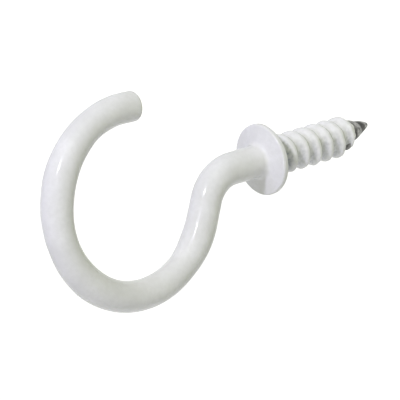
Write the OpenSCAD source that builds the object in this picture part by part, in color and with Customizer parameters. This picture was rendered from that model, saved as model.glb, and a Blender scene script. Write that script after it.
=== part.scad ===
// Shouldered screw hook: one coated wire, bent to an open bowl, with a collar
// and a wood screw on its end. The origin is the centre of the collar's back
// face, +Y runs along the screw into the wall and +Z is up.

/* [Wire] */
// Diameter of the wire with its coat
wire_d = 3.6; // [2.8:0.1:4.4]
// How much thicker the wire is where it meets the collar
neck_swell = 0.25; // [0.05:0.05:0.6]

/* [Hook] */
// Clear diameter inside the bowl
bowl_d = 17.6; // [14:0.1:24]
// How far the wire turns round the bowl, in degrees
bowl_turn = 247; // [200:0.5:255]
// Straight length at the open end
tip_len = 1.7; // [1.4:0.1:5]
// Radius of the rounded edge at the open end
tip_round = 0.4; // [0.2:0.1:1.2]

/* [Neck] */
// Straight length between the collar's front edge and the neck bend
neck_len = 4.35; // [2:0.05:12]
// Radius of the neck bend, at the wire's centre
neck_bend_r = 4.85; // [3.6:0.05:8]
// How far the neck bends down, in degrees
neck_turn = 65; // [50:0.5:80]
// Straight length between the neck bend and the bowl
web_len = 2.4; // [0.5:0.1:8]

/* [Collar] */
// Diameter of the collar
collar_d = 8.4; // [7.6:0.1:12]
// Thickness of the collar at its edge
collar_t = 0.65; // [0.6:0.05:1.1]
// Radius of the rounded front edge
front_round = 0.25; // [0.2:0.05:0.45]
// How steeply the collar's front rises from its edge to the neck, in degrees
front_slope = 14; // [0:1:18]
// Radius of the rounded back edge
back_round = 0.1; // [0.05:0.01:0.12]
// Radius of the fillet between the collar and the neck
neck_fillet = 0.6; // [0.3:0.1:1.2]
// Depth of the shallow recess round the screw, which clears its thread
recess_t = 0.12; // [0.05:0.01:0.2]
// Width of the gap between the thread and the edge of that recess
recess_gap = 0.2; // [0.1:0.05:0.4]

/* [Screw] */
// Length of the screw behind the collar
screw_len = 16.8; // [10:0.1:30]
// Diameter over the thread
thread_d = 4.75; // [3.8:0.05:5.8]
// Diameter between the threads
root_d = 3.3; // [2.4:0.05:3.5]
// Distance from one turn of the thread to the next
thread_pitch = 1.9; // [1.5:0.05:2.4]
// Width of the thread's crest
crest_w = 0.4; // [0.2:0.05:0.6]
// Width of the flat between two turns
root_w = 0.4; // [0.1:0.05:0.6]
// Length of the tapered point
point_len = 4.5; // [3:0.1:8]
// Length at the very tip that has no thread
bare_len = 1; // [0.5:0.1:2]
// Where round the screw its crest leaves the collar, in degrees
thread_start = 141; // [0:1:359]

/* [Hidden] */
$fn = 64;

wire_r = wire_d / 2;
bowl_r = (bowl_d + wire_d) / 2;
neck_r = wire_r + neck_swell / 2;
collar_r = collar_d / 2;
front_r = collar_r - front_round;
root_r = root_d / 2;
thread_h = (thread_d - root_d) / 2;
recess_r = thread_d / 2 + recess_gap;
// Centre of the neck's fillet, which touches the neck and the collar's sloped front,
// and the radius at which it meets that front
fillet_r = neck_r + neck_fillet;
fillet_h = front_h(fillet_r) + neck_fillet / cos(front_slope);
foot_r = fillet_r - neck_fillet * sin(front_slope);
// A cut reaches this far past the face that it opens
cut_over = 1;
// The neck's fillet reaches this far into the neck and the collar
fillet_lap = 0.2;
// Straight wire is this much thinner than a bend, and runs this far into it
joint_step = 0.01;
joint_lap = 0.2;

// Steps of the thread in one turn
turn_steps = 24;
flank_w = (thread_pitch - crest_w - root_w) / 2;
crest_mid = root_w + flank_w + crest_w / 2;
// Across one pitch: distance from the thread's lower edge, and share of its height
thread_profile = [
    [0, 0],
    [root_w, 0],
    [crest_mid - crest_w / 2, 0.85],
    [crest_mid, 1],
    [crest_mid + crest_w / 2, 0.85]
];
profile_n = len(thread_profile);
// The screw begins inside the neck, thinner than the wire, and a small blunt nib
// closes its end
stem_r = 0.8 * wire_r;
screw_z0 = -collar_t - thread_pitch;
nib_len = 0.3;
nib_r = 0.15;
steps_n = floor((screw_len - nib_len - thread_pitch - screw_z0) * turn_steps / thread_pitch);

function clamp01(v) = min(1, max(0, v));

// Thickness of the collar at a distance from its axis
function front_h(r) = collar_t + (front_r - r) * tan(front_slope);

// Radius between the threads: the buried stem, a cylinder, then a cone towards the tip
function core_r(z) =
    nib_r + (root_r - nib_r) * clamp01((screw_len - z) / point_len)
    + (stem_r - root_r) * clamp01((-z - recess_t) / (collar_t - recess_t));

// Share of the full thread height: it rises inside the collar and dies out on the point
function thread_share(z) =
    clamp01((z + 0.8 * collar_t) / (0.8 * collar_t - recess_t))
    * clamp01((screw_len - bare_len - z) / (point_len - bare_len));

// Point number a of the profile, after k steps along the thread
function thread_point(k, a) =
    let (
        z = screw_z0 + thread_pitch * k / turn_steps + thread_profile[a][0],
        r = core_r(z) + thread_h * thread_profile[a][1] * thread_share(z)
    )
    [r * cos(360 * k / turn_steps), r * sin(360 * k / turn_steps), z];

// Index of that point: the profile's last edge is the first edge one turn later
function point_id(k, a) =
    a == profile_n ? point_id(k + turn_steps, 0)
    : k <= steps_n ? k * profile_n + a
    : (steps_n + 1) * profile_n + k - steps_n - 1;

// Triangles from one corner to each edge of a loop
function fan(corner, loop) = [
    for (i = [0 : len(loop) - 1]) [corner, loop[i], loop[(i + 1) % len(loop)]]
];

// Wire that runs on from here along +X between two bends, with the children at
// its end
module straight(length) {
    translate([-joint_lap, 0, 0]) rotate([0, 90, 0])
        cylinder(r = wire_r - joint_step, h = length + 2 * joint_lap);
    translate([length, 0, 0]) children();
}

// Wire that turns from +X in the XY plane, to the left or, if turn is negative,
// to the right, with the children at its end
module bend(radius, turn) {
    side = sign(turn);
    translate([0, side * radius, 0]) {
        rotate_extrude(angle = abs(turn), start = side > 0 ? -90 : 90 + turn)
            translate([radius, 0]) circle(r = wire_r);
        rotate([0, 0, turn]) translate([0, -side * radius, 0]) children();
    }
}

// Straight end of the wire along +X, with a rounded edge
module tip() {
    tip_r = wire_r - joint_step;
    rotate([0, 90, 0]) rotate_extrude() {
        translate([0, -joint_lap]) {
            square([tip_r, joint_lap + tip_len - tip_round]);
            square([tip_r - tip_round, joint_lap + tip_len]);
        }
        translate([tip_r - tip_round, tip_len - tip_round])
            intersection() {
                circle(r = tip_round);
                square(tip_round);
            }
    }
}

// What a rounding with its centre here cuts off the corner to its right and above
module corner(radius) {
    difference() {
        square(radius + cut_over);
        circle(r = radius);
    }
}

// Outline of the collar, from the axis outwards
module collar_outline() {
    difference() {
        polygon([
            [0, 0],
            [collar_r, 0],
            [collar_r, collar_t],
            [front_r, collar_t],
            [neck_r, front_h(neck_r)],
            [0, front_h(neck_r)]
        ]);
        // The recess round the screw
        translate([-cut_over, -cut_over]) square([recess_r + cut_over, recess_t + cut_over]);
        // The rounded front and back edges
        translate([front_r, collar_t - front_round]) corner(front_round);
        translate([collar_r - back_round, back_round]) mirror([0, 1]) corner(back_round);
    }
}

// Outline of the straight neck, which swells slightly towards the collar
module neck_outline() {
    polygon([
        [0, recess_t],
        [neck_r, recess_t],
        [neck_r, fillet_h],
        [wire_r, collar_t + neck_len],
        [0, collar_t + neck_len]
    ]);
    // The fillet where the neck meets the collar
    difference() {
        polygon([
            [neck_r - fillet_lap, fillet_h],
            [neck_r - fillet_lap, collar_t - fillet_lap],
            [foot_r, collar_t - fillet_lap],
            [foot_r, front_h(foot_r)],
            [fillet_r, fillet_h]
        ]);
        translate([fillet_r, fillet_h]) circle(r = neck_fillet);
    }
}

// Collar and straight neck, turned about the Z axis
module collar() {
    rotate_extrude() {
        collar_outline();
        neck_outline();
    }
}

// Wire from the neck bend to the open end
module bowl() {
    bend(neck_bend_r, neck_turn)
        straight(web_len)
            bend(bowl_r, -bowl_turn)
                tip();
}

// Core and thread as one helical skin along +Z
module screw() {
    points = concat(
        [for (k = [0 : steps_n], a = [0 : profile_n - 1]) thread_point(k, a)],
        [for (k = [steps_n + 1 : steps_n + turn_steps]) thread_point(k, 0)],
        [[0, 0, screw_z0], [0, 0, screw_len]]
    );
    base = len(points) - 2;
    apex = len(points) - 1;
    skin = [
        for (k = [0 : steps_n - 1], a = [0 : profile_n - 1], half = [0, 1])
            half == 0
                ? [point_id(k, a), point_id(k, a + 1), point_id(k + 1, a + 1)]
                : [point_id(k, a), point_id(k + 1, a + 1), point_id(k + 1, a)]
    ];
    base_loop = concat(
        [for (k = [0 : turn_steps]) point_id(k, 0)],
        [for (a = [profile_n - 1 : -1 : 1]) point_id(0, a)]
    );
    apex_loop = concat(
        [for (k = [steps_n : -1 : steps_n - turn_steps]) point_id(k, profile_n)],
        [for (a = [1 : profile_n - 1]) point_id(steps_n, a)]
    );
    // The crest of the unturned skin is level with the collar's back at this angle
    crest_angle = -360 * (screw_z0 + crest_mid) / thread_pitch;
    rotate([0, 0, thread_start - crest_angle])
        polyhedron(points, concat(skin, fan(base, base_loop), fan(apex, apex_loop)));
}

module screw_hook() {
    color("whitesmoke") union() {
        rotate([90, 0, 0]) collar();
        translate([0, -collar_t - neck_len, 0]) rotate([-90, 0, -90]) bowl();
        rotate([-90, 0, 0]) screw();
    }
}

screw_hook();
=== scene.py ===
import math

import bpy
import numpy as np
from mathutils import Matrix, Vector, noise


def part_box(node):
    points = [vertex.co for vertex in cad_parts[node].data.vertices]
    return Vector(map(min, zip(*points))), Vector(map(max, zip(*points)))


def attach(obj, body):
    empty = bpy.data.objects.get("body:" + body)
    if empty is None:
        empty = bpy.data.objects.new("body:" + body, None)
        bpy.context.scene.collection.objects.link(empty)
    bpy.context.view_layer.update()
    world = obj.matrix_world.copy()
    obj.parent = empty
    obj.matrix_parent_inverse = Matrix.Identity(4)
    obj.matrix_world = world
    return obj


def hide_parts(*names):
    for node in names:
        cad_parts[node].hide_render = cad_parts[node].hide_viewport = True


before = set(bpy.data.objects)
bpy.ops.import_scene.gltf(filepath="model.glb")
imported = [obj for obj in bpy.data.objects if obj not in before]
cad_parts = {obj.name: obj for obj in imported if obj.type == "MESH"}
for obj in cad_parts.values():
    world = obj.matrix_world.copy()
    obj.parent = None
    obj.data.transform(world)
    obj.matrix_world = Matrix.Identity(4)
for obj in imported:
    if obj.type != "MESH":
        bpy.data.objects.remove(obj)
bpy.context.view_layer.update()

MM = 0.001
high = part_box("screw_hook")[1]

# ---- Sizes in mm, as the CAD model has them where nothing else is said ----

WIRE_R = 1.8
# How much wider the neck is at the collar
NECK_SWELL = 0.125
NECK_LEN = 4.35
NECK_BEND_R = 4.85
NECK_TURN = math.radians(65)
WEB_LEN = 2.4
BOWL_R = 10.6
BOWL_TURN = math.radians(247)
TIP_LEN = 1.7
TIP_ROUND = 0.4

# A little less than the CAD model's, so that the coat's waves stay inside its box
COLLAR_R = high.x / MM - 0.01
COLLAR_T = 0.65
FRONT_ROUND = 0.25
# In degrees
FRONT_SLOPE = 14
BACK_ROUND = 0.1
NECK_FILLET = 0.6
RECESS_T = 0.12
RECESS_R = 2.575

SCREW_LEN = 16.8
CREST_R = 2.375
ROOT_R = 1.65
PITCH = 1.9
POINT_LEN = 4.5
THREAD_START = math.radians(141)
POINT_R = 0.15
# The screw as it is seen: the point bulges, and the thread dies out on it along a curve
BARE_LEN = 0.6
POINT_CURVE = 0.65
THREAD_FADE = 2.4
# The coated thread's crest is narrow, and its flank on the collar's side the wider one
CREST_HALF = 0.06
NEAR_FLANK_W = 0.88
FAR_FLANK_W = 0.65
# The point leans a little off the axis, from here on
LEAN_START = 11.5
POINT_LEAN = 0.5

# ---- The coat's unevenness in mm, and where it has worn off the screw ----

# Rough places along the wire from the neck bend's start, and how much thicker the coat is there
SWELLS = (
    (0, 0.1), (6, 0.0), (10, 0.05), (14.5, -0.1), (20, -0.03),
    (28, 0.04), (34, -0.035), (42, 0.08), (50, -0.09), (54, -0.05),
)
# Waves and ripples all over the hook, and lumps on the screw: their height and rough size
WAVE_T, WAVE_SIZE = 0.035, 2.6
RIPPLE_T, RIPPLE_SIZE = 0.009, 0.9
LUMP_T, LUMP_SIZE = 0.065, 0.8
# Coat that pools between the turns on top of the screw, and the share of it that is below
POOL_T = 0.44
POOL_LEAST = 0.2
# Bare steel lies this much lower than the coat
COAT_T = 0.08
# The coat ends this far along the screw, COAT_RISE further below and COAT_RISE less on top
COAT_END = 13.35
COAT_RISE = 0.4
# On the underside it has worn back by LOW_LEAD, and by VALLEY_LEAD more between the turns,
# in full where the ridge is lower than this share
LOW_LEAD = 1.3
VALLEY_LEAD = 1.6
VALLEY_RIDGE = 0.3333
# How far its edge strays, the rough size of the rags, and the width of the edge
RAGGED, RAGGED_SIZE = 0.3, 0.9
WORN_W = 0.16
# From here on the thread has lost this share of its height below, eased in over this length
LAST_TURN = 12.1
LAST_WEAR = 0.5
LAST_EASE = 0.8
# How much grime and painted shade lies between the turns, and how much more painted shade lies
# behind the collar
GRIME_AND_SHADE_SHARE = 0.5
COLLAR_SHADE = 0.62
# It lies this far past the deepest line, towards the point, up to this share of the ridge
GRIME_AND_SHADE_LAG = 0.15
GRIME_AND_SHADE_RIDGE = 0.625
# The coat is painted paler along the screw as painted light, between these two places
PAINTED_LIGHT_START = 2
PAINTED_LIGHT_END = 6

# Where each of these begins and is complete round the screw, as values of DOWN
POOL_SIDE = (0.625, -0.625)
# The grime and painted shade fade out towards the top of the screw, where the light falls
GRIME_AND_SHADE_SIDE = (-0.8889, 0.2222)
LOW_SIDE = (0.4, 0.7333)
VALLEY_SIDE = (0.1, 0.4333)
LAST_SIDE = (0, 0.4)

# ---- How finely the skin is divided ----

AROUND = 144
WIRE_STEP = 0.3
SCREW_STEP = 0.075
TIP_STEPS = 8
NECK_STEPS = 13
FILLET_STEPS = 11
FRONT_ROUND_STEPS = 8
BACK_ROUND_STEPS = 4
FACE_STEPS = 5
SHARP_ANGLE = math.radians(50)

# Angles round a ring from +X, and how far down each is on the screw: -1 on top, 1 below
PHI = np.linspace(0, 2 * math.pi, AROUND, endpoint=False)
DOWN = np.sin(PHI)


def ease(x, start, stop):
    """0 at start and before it, 1 at stop and past it, and a smooth S between."""
    share = np.clip((x - start) / (stop - start), 0, 1)
    return share * share * (3 - 2 * share)


# ---- The wire: rings of points from the collar's front to the open end ----


def swell(run):
    """How much thicker the coat is at places along the wire, eased between those in SWELLS."""
    places, extra = np.array(SWELLS).T
    after = np.clip(np.searchsorted(places, run), 1, len(places) - 1)
    share = ease(run, places[after - 1], places[after])
    return extra[after - 1] + share * (extra[after] - extra[after - 1])


def wire_stations():
    """(y, z, heading) along the wire's middle, from the neck bend to the open end's rounding."""
    legs = [
        (NECK_BEND_R * NECK_TURN, NECK_TURN),
        (WEB_LEN, 0),
        (BOWL_R * BOWL_TURN, -BOWL_TURN),
        (TIP_LEN - TIP_ROUND, 0),
    ]
    y, z, heading = -COLLAR_T - NECK_LEN, 0.0, math.pi
    stations = [(y, z, heading)]
    for length, turn in legs:
        steps = math.ceil(length / WIRE_STEP)
        half = turn / steps / 2
        chord = length / steps * (math.sin(half) / half if turn else 1)
        for _ in range(steps):
            y += chord * math.cos(heading + half)
            z += chord * math.sin(heading + half)
            heading += 2 * half
            stations.append((y, z, heading))
    return stations


def wire_ring(y, z, heading, radius, ahead=0.0):
    """A ring round the wire at a station, moved ahead along it. Its first point is at +X."""
    y += ahead * math.cos(heading)
    z += ahead * math.sin(heading)
    side = radius * DOWN
    return np.stack(
        [radius * np.cos(PHI), y - side * math.sin(heading), z + side * math.cos(heading)], 1
    )


def wire_rings():
    """Rings from the neck to the open end, and the last point in the end's middle."""
    stations = wire_stations()
    coat = swell(np.arange(len(stations)) * WIRE_STEP)
    rings = [wire_ring(*station, WIRE_R + t) for station, t in zip(stations, coat)]
    end, end_r = stations[-1], WIRE_R + coat[-1]
    for t in np.linspace(0, math.pi / 2, TIP_STEPS + 1)[1:]:
        rings.append(wire_ring(*end, end_r - TIP_ROUND * (1 - math.cos(t)), TIP_ROUND * math.sin(t)))
    # Rings across the flat end, as shares of its radius
    for share in (0.8, 0.5, 0.2):
        rings.append(wire_ring(*end, (end_r - TIP_ROUND) * share, TIP_ROUND))
    return rings, wire_ring(*end, 0.0, TIP_ROUND)[0]


# ---- Neck and collar: an outline turned about the screw's axis ----


def arc(centre_r, centre_y, radius, start, stop, steps):
    """Points (r, y) of an arc between two angles in degrees: 0 is outwards and 90 into the wall."""
    return [
        (centre_r + radius * math.cos(a), centre_y + radius * math.sin(a))
        for a in np.radians(np.linspace(start, stop, steps + 1))
    ]


def line(start, stop, steps):
    """Points (r, y) after start, up to stop."""
    start, stop = np.array(start), np.array(stop)
    return [tuple(start + (stop - start) * i / steps) for i in range(1, steps + 1)]


def collar_outline():
    """Points (r, y) from the neck over the collar's front, rim and back into the recess."""
    start_r, neck_r = WIRE_R + SWELLS[0][1], WIRE_R + NECK_SWELL
    round_r = COLLAR_R - FRONT_ROUND
    # The front is a low cone, and the fillet's circle touches it and the neck
    slope = math.radians(FRONT_SLOPE)
    fillet_r = neck_r + NECK_FILLET
    fillet_y = -COLLAR_T - (round_r - fillet_r) * math.tan(slope) - NECK_FILLET / math.cos(slope)
    neck_y = -COLLAR_T - NECK_LEN
    neck = [
        (start_r + (neck_r - start_r) * ease(t, 0, 1), neck_y + (fillet_y - neck_y) * t)
        for t in np.linspace(0, 1, NECK_STEPS + 1)[1:-1]
    ]
    fillet = arc(fillet_r, fillet_y, NECK_FILLET, 180, 90 + FRONT_SLOPE, FILLET_STEPS)
    front = line(fillet[-1], (round_r, -COLLAR_T), FACE_STEPS)[:-1]
    front += arc(round_r, FRONT_ROUND - COLLAR_T, FRONT_ROUND, -90, 0, FRONT_ROUND_STEPS)
    rim = arc(COLLAR_R - BACK_ROUND, -BACK_ROUND, BACK_ROUND, 0, 90, BACK_ROUND_STEPS)
    back = line(rim[-1], (RECESS_R, 0), FACE_STEPS)
    recess = line((RECESS_R, 0), (RECESS_R, -RECESS_T), 2)
    return neck + fillet + front + rim + back + recess


def turned_ring(radius, y):
    """A ring about the screw's axis. Angles grow from +X towards -Z, as the thread's do."""
    return np.stack([radius * np.cos(PHI), np.full(AROUND, y), -radius * DOWN], 1)


# ---- Screw: a height over the axis for every place along and round it ----


def core_radius(y):
    """Radius between the threads: a cylinder, then a blunt gimlet point."""
    return POINT_R + (ROOT_R - POINT_R) * np.clip((SCREW_LEN - y) / POINT_LEN, 0, 1) ** POINT_CURVE


def thread_share(y):
    """Share of the full thread height: all of it, until it dies out on the point."""
    return np.clip((SCREW_LEN - BARE_LEN - y) / (POINT_LEN - BARE_LEN), 0, 1) ** THREAD_FADE


def ridge(y):
    """Share of the ridge's height at each angle of a ring: 1 on the crest, 0 between turns."""
    turn = y / PITCH - (PHI - THREAD_START) / (2 * math.pi)
    past_crest = (turn - np.round(turn)) * PITCH
    flank_w = np.where(past_crest > 0, FAR_FLANK_W, NEAR_FLANK_W)
    return ease(np.abs(past_crest), CREST_HALF + flank_w, CREST_HALF)


def uneven(points, feature, seed):
    """Noise from -1 to 1 at points in mm, with lumps of about the given size."""
    shift = Vector((seed, 2 * seed, 3 * seed))
    return np.array([noise.noise(Vector(point) / feature + shift) for point in points])


def worn_share(y, crest):
    """How bare each point of a ring is: 0 where it is coated, 1 where steel shows."""
    valley = ease(crest, 1, VALLEY_RIDGE) * ease(DOWN, *VALLEY_SIDE)
    lead = LOW_LEAD * ease(DOWN, *LOW_SIDE) + VALLEY_LEAD * valley
    lead += RAGGED * uneven(turned_ring(CREST_R, y), RAGGED_SIZE, seed=5)
    edge = y + lead - COAT_END - COAT_RISE * DOWN
    return ease(edge, -WORN_W / 2, WORN_W / 2)


def screw_radius(y, crest, worn):
    """Radius of the screw at each angle of a ring, with its coat."""
    height = (CREST_R - ROOT_R) * thread_share(y) * crest
    last = ease(y, LAST_TURN, LAST_TURN + LAST_EASE) * ease(DOWN, *LAST_SIDE)
    height *= 1 - LAST_WEAR * last
    pool = POOL_LEAST + (1 - POOL_LEAST) * ease(DOWN, *POOL_SIDE)
    lumps = uneven(turned_ring(CREST_R, y), LUMP_SIZE, seed=9) * ease(y, 0, PITCH)
    coat = POOL_T * (1 - crest) * pool + LUMP_T * lumps
    radius = core_radius(y) + height - COAT_T * worn + (1 - worn) * coat
    return np.maximum(radius, POINT_R / 2)


def screw_rings():
    """Rings from the recess to the tip, what each point is marked with, and the tip itself."""
    rings = []
    marks = {"bare": [], "deep": [], "grime_and_shade": [], "painted_light": []}
    for y in np.arange(-RECESS_T, SCREW_LEN - POINT_R, SCREW_STEP):
        crest = ridge(y)
        worn = worn_share(y, crest)
        ring = turned_ring(screw_radius(y, crest, worn), y)
        ring[:, 2] += POINT_LEAN * ease(y, LEAN_START, SCREW_LEN)
        rings.append(ring)
        # Grime and painted shade between the turns, fading out on top, and more painted shade behind
        # the collar
        darkening = GRIME_AND_SHADE_SHARE * ease(DOWN, *GRIME_AND_SHADE_SIDE) + COLLAR_SHADE * ease(y, 2 * PITCH, PITCH)
        marks["bare"].append(worn)
        marks["deep"].append(1 - crest)
        marks["grime_and_shade"].append(darkening * ease(ridge(y - GRIME_AND_SHADE_LAG), GRIME_AND_SHADE_RIDGE, 0))
        # Painted light: the coat gets paler along the screw
        marks["painted_light"].append(np.full(AROUND, ease(y, PAINTED_LIGHT_START, PAINTED_LIGHT_END)))
    marks = {name: np.concatenate(values) for name, values in marks.items()}
    return rings, marks, np.array([0, SCREW_LEN, POINT_LEAN])


# ---- One closed skin from the open end to the screw's tip ----


def skin(name, rings, first, last):
    """A closed mesh through rings of points, in mm, with a point that closes each end."""
    count = len(rings)
    points = np.concatenate([*rings, [first], [last]]) * MM
    here = np.arange(AROUND)
    beside = (here + 1) % AROUND
    faces = []
    for k in range(count - 1):
        a, b = k * AROUND, (k + 1) * AROUND
        faces += np.stack([a + here, a + beside, b + beside, b + here], 1).tolist()
    end = (count - 1) * AROUND
    faces += [(count * AROUND, beside[i], here[i]) for i in here]
    faces += [(count * AROUND + 1, end + here[i], end + beside[i]) for i in here]
    mesh = bpy.data.meshes.new(name)
    mesh.from_pydata(points.tolist(), [], faces)
    mesh.validate()
    mesh.shade_smooth()
    mesh.set_sharp_from_angle(angle=SHARP_ANGLE)
    piece = bpy.data.objects.new(name, mesh)
    bpy.context.scene.collection.objects.link(piece)
    return piece


def mark(mesh, name, values):
    """A number for every point of a mesh, which its material reads."""
    mesh.attributes.new(name, "FLOAT", "POINT").data.foreach_set("value", values)


def roughen(mesh):
    """Slight waviness of the dipped coat, which breaks up the highlights."""
    count = len(mesh.vertices)
    points, normals = np.empty(3 * count), np.empty(3 * count)
    mesh.vertices.foreach_get("co", points)
    mesh.vertex_normals.foreach_get("vector", normals)
    points, normals = points.reshape(-1, 3), normals.reshape(-1, 3)
    wave = WAVE_T * uneven(points / MM, WAVE_SIZE, seed=1)
    wave += RIPPLE_T * uneven(points / MM, RIPPLE_SIZE, seed=3)
    mesh.vertices.foreach_set("co", (points + normals * (wave * MM)[:, None]).ravel())
    mesh.update()


def build_hook():
    wire, end_point = wire_rings()
    collar = [turned_ring(r, y) for r, y in collar_outline()]
    screw, marks, tip = screw_rings()
    hook = skin("coated_hook", wire[::-1] + collar + screw, end_point, tip)
    # Only the screw is marked. The last two points close the open end and the tip
    unmarked = np.zeros((len(wire) + len(collar)) * AROUND)
    for name, values in marks.items():
        mark(hook.data, name, np.concatenate([unmarked, values, [0, values[-1]]]))
    roughen(hook.data)
    return hook


# ---- Materials ----

COAT_PALE = (0.875, 0.875, 0.875)
COAT_DARK = (0.795, 0.795, 0.79)
# Painted light: the paler coat colour further along the screw
COAT_PAINTED_LIGHT = (0.925, 0.925, 0.925)
COAT_MOTTLE = (0.73, 0.73, 0.72)
MOTTLE_SHARE = 0.28
COAT_ROUGH = 0.2
# How far the coat's roughness strays from that
ROUGH_SPREAD = 0.04
# Colour of the grime and painted shade between the turns
GRIME_AND_SHADE = (0.21, 0.23, 0.268)
# Grime and painted shade are at least this share as strong where the specks leave them thinnest
GRIME_AND_SHADE_LEAST = 0.4
STEEL_DARK = (0.05, 0.05, 0.046)
STEEL_PALE = (0.42, 0.42, 0.4)
STEEL_ROUGH = 0.45
# How much the steel is rubbed in the deepest places, and in its darkest streaks
RUB_LEAST = 0.15
STREAK_LEAST = 0.2
# The coat's orange peel, and its depth in mm
PEEL_STRENGTH = 0.35
PEEL_T = 0.02

# Noise: its cells in a metre, its finer layers, and a shift that tells it from the others
PATCHES = {"scale": 260, "detail": 6, "seed": 0.0}
SPECKS = {"scale": 1900, "detail": 4, "seed": 0.3}
STREAKS = {"scale": 2600, "detail": 5, "seed": 0.7}
# The range of a noise, or of the depth between the turns, over which each look changes
PALE_RANGE = (0.35, 0.65)
MOTTLE_RANGE = (0.4, 0.62)
GRIME_AND_SHADE_RANGE = (0.35, 0.7)
RUB_RANGE = (0.2, 0.9)
STREAK_RANGE = (0.38, 0.6)
GLOSS_RANGE = (0.3, 0.7)

FLOOR_COLOR = (0.8, 0.8, 0.79)
# The floor's own glow near the hook, which rises to 1 between these distances in mm
FLOOR_GLOW = 0.55
FLOOR_LIT_R = 80
FLOOR_DARK_R = 500


def new_material(name):
    material = bpy.data.materials.new(name)
    material.use_nodes = True
    material.node_tree.nodes.clear()
    return material, material.node_tree.nodes, material.node_tree.links


def noise_node(nodes, links, scale, detail, seed):
    """Noise from 0 to 1, from places on the object in metres."""
    place = nodes.new("ShaderNodeTexCoord")
    moved = nodes.new("ShaderNodeVectorMath")
    moved.operation = "ADD"
    moved.inputs[1].default_value = (seed, seed, seed)
    links.new(place.outputs["Object"], moved.inputs[0])
    texture = nodes.new("ShaderNodeTexNoise")
    texture.inputs["Scale"].default_value = scale
    texture.inputs["Detail"].default_value = detail
    links.new(moved.outputs["Vector"], texture.inputs["Vector"])
    return texture.outputs["Fac"]


def spread(nodes, links, value, before, after):
    """A value mapped from the range before to the range after, and clamped to it."""
    node = nodes.new("ShaderNodeMapRange")
    node.inputs["From Min"].default_value = before[0]
    node.inputs["From Max"].default_value = before[1]
    node.inputs["To Min"].default_value = after[0]
    node.inputs["To Max"].default_value = after[1]
    links.new(value, node.inputs["Value"])
    return node.outputs["Result"]


def combined(nodes, links, operation, first, second):
    """Two values combined by a maths operation."""
    node = nodes.new("ShaderNodeMath")
    node.operation = operation
    links.new(first, node.inputs[0])
    links.new(second, node.inputs[1])
    return node.outputs["Value"]


def blend(nodes, links, share, first, second):
    """A mix of two colours, each a socket or a tuple. At a share of 1 it is the second."""
    node = nodes.new("ShaderNodeMix")
    node.data_type = "RGBA"
    links.new(share, node.inputs["Factor"])
    for name, color in (("A", first), ("B", second)):
        socket = next(i for i in node.inputs if i.name == name and i.type == "RGBA")
        if isinstance(color, tuple):
            socket.default_value = (*color, 1)
        else:
            links.new(color, socket)
    return next(o for o in node.outputs if o.type == "RGBA")


def attribute(nodes, name):
    """A mark that the points of the mesh carry."""
    node = nodes.new("ShaderNodeAttribute")
    node.attribute_name = name
    return node.outputs["Fac"]


def coat_material():
    """White dip coat over steel, with grime and painted shade between the turns, painted light along
    the screw, and worn off the screw's point.
    """
    material, nodes, links = new_material("white_coat")
    out = nodes.new("ShaderNodeOutputMaterial")
    shader = nodes.new("ShaderNodeBsdfPrincipled")
    links.new(shader.outputs["BSDF"], out.inputs["Surface"])
    bare = attribute(nodes, "bare")
    patches = noise_node(nodes, links, **PATCHES)
    specks = noise_node(nodes, links, **SPECKS)
    streaks = noise_node(nodes, links, **STREAKS)

    # Coat: faint patches, painted light along the screw, faint specks, and grime and painted shade
    # between the turns
    pale = spread(nodes, links, patches, PALE_RANGE, (0, 1))
    mottle = spread(nodes, links, specks, MOTTLE_RANGE, (0, MOTTLE_SHARE))
    speckling = spread(nodes, links, specks, GRIME_AND_SHADE_RANGE, (GRIME_AND_SHADE_LEAST, 1))
    grime_and_shade = combined(nodes, links, "MULTIPLY", attribute(nodes, "grime_and_shade"), speckling)
    coat = blend(nodes, links, pale, COAT_DARK, COAT_PALE)
    coat = blend(nodes, links, attribute(nodes, "painted_light"), coat, COAT_PAINTED_LIGHT)
    coat = blend(nodes, links, mottle, coat, COAT_MOTTLE)
    coat = blend(nodes, links, grime_and_shade, coat, GRIME_AND_SHADE)

    # Steel: dark between the turns, paler and streaked on them, where it is rubbed
    raised = spread(nodes, links, attribute(nodes, "deep"), RUB_RANGE, (1, RUB_LEAST))
    streaked = spread(nodes, links, streaks, STREAK_RANGE, (STREAK_LEAST, 1))
    rubbed = combined(nodes, links, "MULTIPLY", raised, streaked)
    steel = blend(nodes, links, rubbed, STEEL_DARK, STEEL_PALE)
    links.new(blend(nodes, links, bare, coat, steel), shader.inputs["Base Color"])
    links.new(bare, shader.inputs["Metallic"])

    # Gloss: a satin coat, with rougher steel
    satin_range = (COAT_ROUGH - ROUGH_SPREAD, COAT_ROUGH + ROUGH_SPREAD)
    satin = spread(nodes, links, patches, GLOSS_RANGE, satin_range)
    rough = nodes.new("ShaderNodeMix")
    links.new(bare, rough.inputs["Factor"])
    links.new(satin, rough.inputs["A"])
    rough.inputs["B"].default_value = STEEL_ROUGH
    links.new(rough.outputs["Result"], shader.inputs["Roughness"])

    # Fine orange peel
    peel = nodes.new("ShaderNodeBump")
    peel.inputs["Strength"].default_value = PEEL_STRENGTH
    peel.inputs["Distance"].default_value = PEEL_T * MM
    links.new(specks, peel.inputs["Height"])
    links.new(peel.outputs["Normal"], shader.inputs["Normal"])
    return material


def seen_directly(nodes, links):
    """1 for camera, glossy and transmission rays, and 0 for the light that falls on things."""
    path = nodes.new("ShaderNodeLightPath")
    seen = path.outputs["Is Camera Ray"]
    for ray in ("Is Glossy Ray", "Is Transmission Ray"):
        seen = combined(nodes, links, "MAXIMUM", seen, path.outputs[ray])
    return seen


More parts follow.
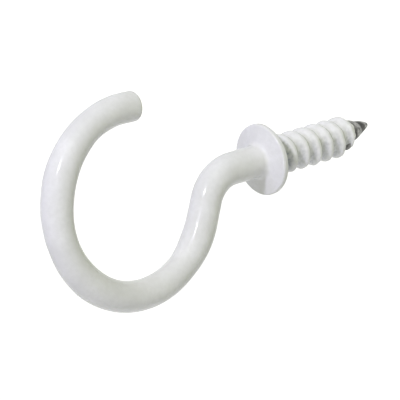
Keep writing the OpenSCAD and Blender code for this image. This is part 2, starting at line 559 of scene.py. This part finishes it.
def floor_material():
    """Pale floor, white all over apart from the hook's shadow, and clear from below."""
    material, nodes, links = new_material("pale_floor")
    out = nodes.new("ShaderNodeOutputMaterial")
    diffuse = nodes.new("ShaderNodeBsdfDiffuse")
    diffuse.inputs["Color"].default_value = (*FLOOR_COLOR, 1)
    # The lamps reach less of the floor further out, and the glow makes up for it
    place = nodes.new("ShaderNodeNewGeometry")
    reach = nodes.new("ShaderNodeVectorMath")
    reach.operation = "LENGTH"
    links.new(place.outputs["Position"], reach.inputs[0])
    lit_range = (FLOOR_LIT_R * MM, FLOOR_DARK_R * MM)
    level = spread(nodes, links, reach.outputs["Value"], lit_range, (FLOOR_GLOW, 1))
    strength = combined(nodes, links, "MULTIPLY", level, seen_directly(nodes, links))
    glow = nodes.new("ShaderNodeEmission")
    links.new(strength, glow.inputs["Strength"])
    both = nodes.new("ShaderNodeAddShader")
    links.new(diffuse.outputs["BSDF"], both.inputs[0])
    links.new(glow.outputs["Emission"], both.inputs[1])
    clear = nodes.new("ShaderNodeBsdfTransparent")
    one_sided = nodes.new("ShaderNodeMixShader")
    links.new(place.outputs["Backfacing"], one_sided.inputs["Fac"])
    links.new(both.outputs["Shader"], one_sided.inputs[1])
    links.new(clear.outputs["BSDF"], one_sided.inputs[2])
    links.new(one_sided.outputs["Shader"], out.inputs["Surface"])
    return material


# ---- Stage: floor, light and camera ----

# Angles in radians, and places, distances and the lens in mm
CAMERA_AZIMUTH = math.radians(50.47)
CAMERA_ELEVATION = math.radians(11.35)
CAMERA_ROLL = math.radians(-7.45)
CAMERA_DISTANCE = 345
CAMERA_LENS = 269
CAMERA_NEAR = 10
CAMERA_FAR = 20000
AIM = (-4.5, -6.56, -3.68)
FLOOR_Z = -65
FLOOR_SIZE = 8000
# Light that comes from all round
FILL_COLOR = (0.95, 1, 0.77)
FILL_STRENGTH = 0.24


def direction(azimuth, elevation):
    """Unit vector from the hook towards a place round it. Azimuth 0 is at -Y and 90 at +X."""
    return Vector(
        (
            math.sin(azimuth) * math.cos(elevation),
            -math.cos(azimuth) * math.cos(elevation),
            math.sin(elevation),
        )
    )


def add_camera():
    """Camera that looks at AIM from the photograph's place, with the photograph's roll."""
    back = direction(CAMERA_AZIMUTH, CAMERA_ELEVATION)
    right = Vector((math.cos(CAMERA_AZIMUTH), math.sin(CAMERA_AZIMUTH), 0))
    up = back.cross(right)
    turned_right = right * math.cos(CAMERA_ROLL) + up * math.sin(CAMERA_ROLL)
    turned_up = back.cross(turned_right)
    data = bpy.data.cameras.new("camera")
    data.lens = CAMERA_LENS
    data.clip_start = CAMERA_NEAR * MM
    data.clip_end = CAMERA_FAR * MM
    camera = bpy.data.objects.new("camera", data)
    camera.matrix_world = Matrix(
        (
            (turned_right.x, turned_up.x, back.x, 0),
            (turned_right.y, turned_up.y, back.y, 0),
            (turned_right.z, turned_up.z, back.z, 0),
            (0, 0, 0, 1),
        )
    )
    camera.location = (Vector(AIM) + back * CAMERA_DISTANCE) * MM
    bpy.context.scene.collection.objects.link(camera)
    bpy.context.scene.camera = camera


def add_lamp(name, place, distance, size, power, color, glint=False):
    """Round lamp that faces the hook, at an azimuth and elevation in degrees.

    Its distance and size are in mm, and its power in watts. A glint makes only highlights,
    and any other lamp only lights surfaces.
    """
    data = bpy.data.lights.new(name, "AREA")
    data.shape = "DISK"
    data.size = size * MM
    data.energy = power
    data.color = color
    lamp = bpy.data.objects.new(name, data)
    towards = direction(*np.radians(place))
    lamp.location = (Vector(AIM) + towards * distance) * MM
    lamp.rotation_mode = "QUATERNION"
    lamp.rotation_quaternion = towards.to_track_quat("Z", "Y")
    lamp.visible_diffuse = not glint
    lamp.visible_glossy = glint
    bpy.context.scene.collection.objects.link(lamp)


def add_world():
    """White to look at, and a softer light on things."""
    world = bpy.data.worlds.new("studio")
    bpy.context.scene.world = world
    world.use_nodes = True
    nodes, links = world.node_tree.nodes, world.node_tree.links
    nodes.clear()
    out = nodes.new("ShaderNodeOutputWorld")
    fill = nodes.new("ShaderNodeBackground")
    fill.inputs["Color"].default_value = (*FILL_COLOR, 1)
    fill.inputs["Strength"].default_value = FILL_STRENGTH
    white = nodes.new("ShaderNodeBackground")
    white.inputs["Color"].default_value = (1, 1, 1, 1)
    white.inputs["Strength"].default_value = 1
    pick = nodes.new("ShaderNodeMixShader")
    links.new(seen_directly(nodes, links), pick.inputs["Fac"])
    links.new(fill.outputs["Background"], pick.inputs[1])
    links.new(white.outputs["Background"], pick.inputs[2])
    links.new(pick.outputs["Shader"], out.inputs["Surface"])


def add_floor():
    half = FLOOR_SIZE / 2 * MM
    mesh = bpy.data.meshes.new("floor")
    corners = [(-half, -half), (half, -half), (half, half), (-half, half)]
    mesh.from_pydata([(x, y, FLOOR_Z * MM) for x, y in corners], [], [(0, 1, 2, 3)])
    floor = bpy.data.objects.new("floor", mesh)
    floor.data.materials.append(floor_material())
    bpy.context.scene.collection.objects.link(floor)


hook = build_hook()
hook.data.materials.append(coat_material())
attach(hook, "root")
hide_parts("screw_hook")

add_floor()
add_world()
add_lamp("key", (25, 38), distance=500, size=60, power=1.27, color=(0.82, 0.79, 1))
add_lamp("glint", (27, 38), distance=500, size=44, power=0.5, color=(0.95, 0.92, 1), glint=True)
add_lamp("front", (0, 60), distance=600, size=450, power=0.74, color=(0.6, 0.55, 1))
add_lamp("right", (60, 55), distance=600, size=450, power=0.85, color=(0.93, 1, 0.52))
add_camera()
bpy.context.scene.view_settings.view_transform = "Standard"
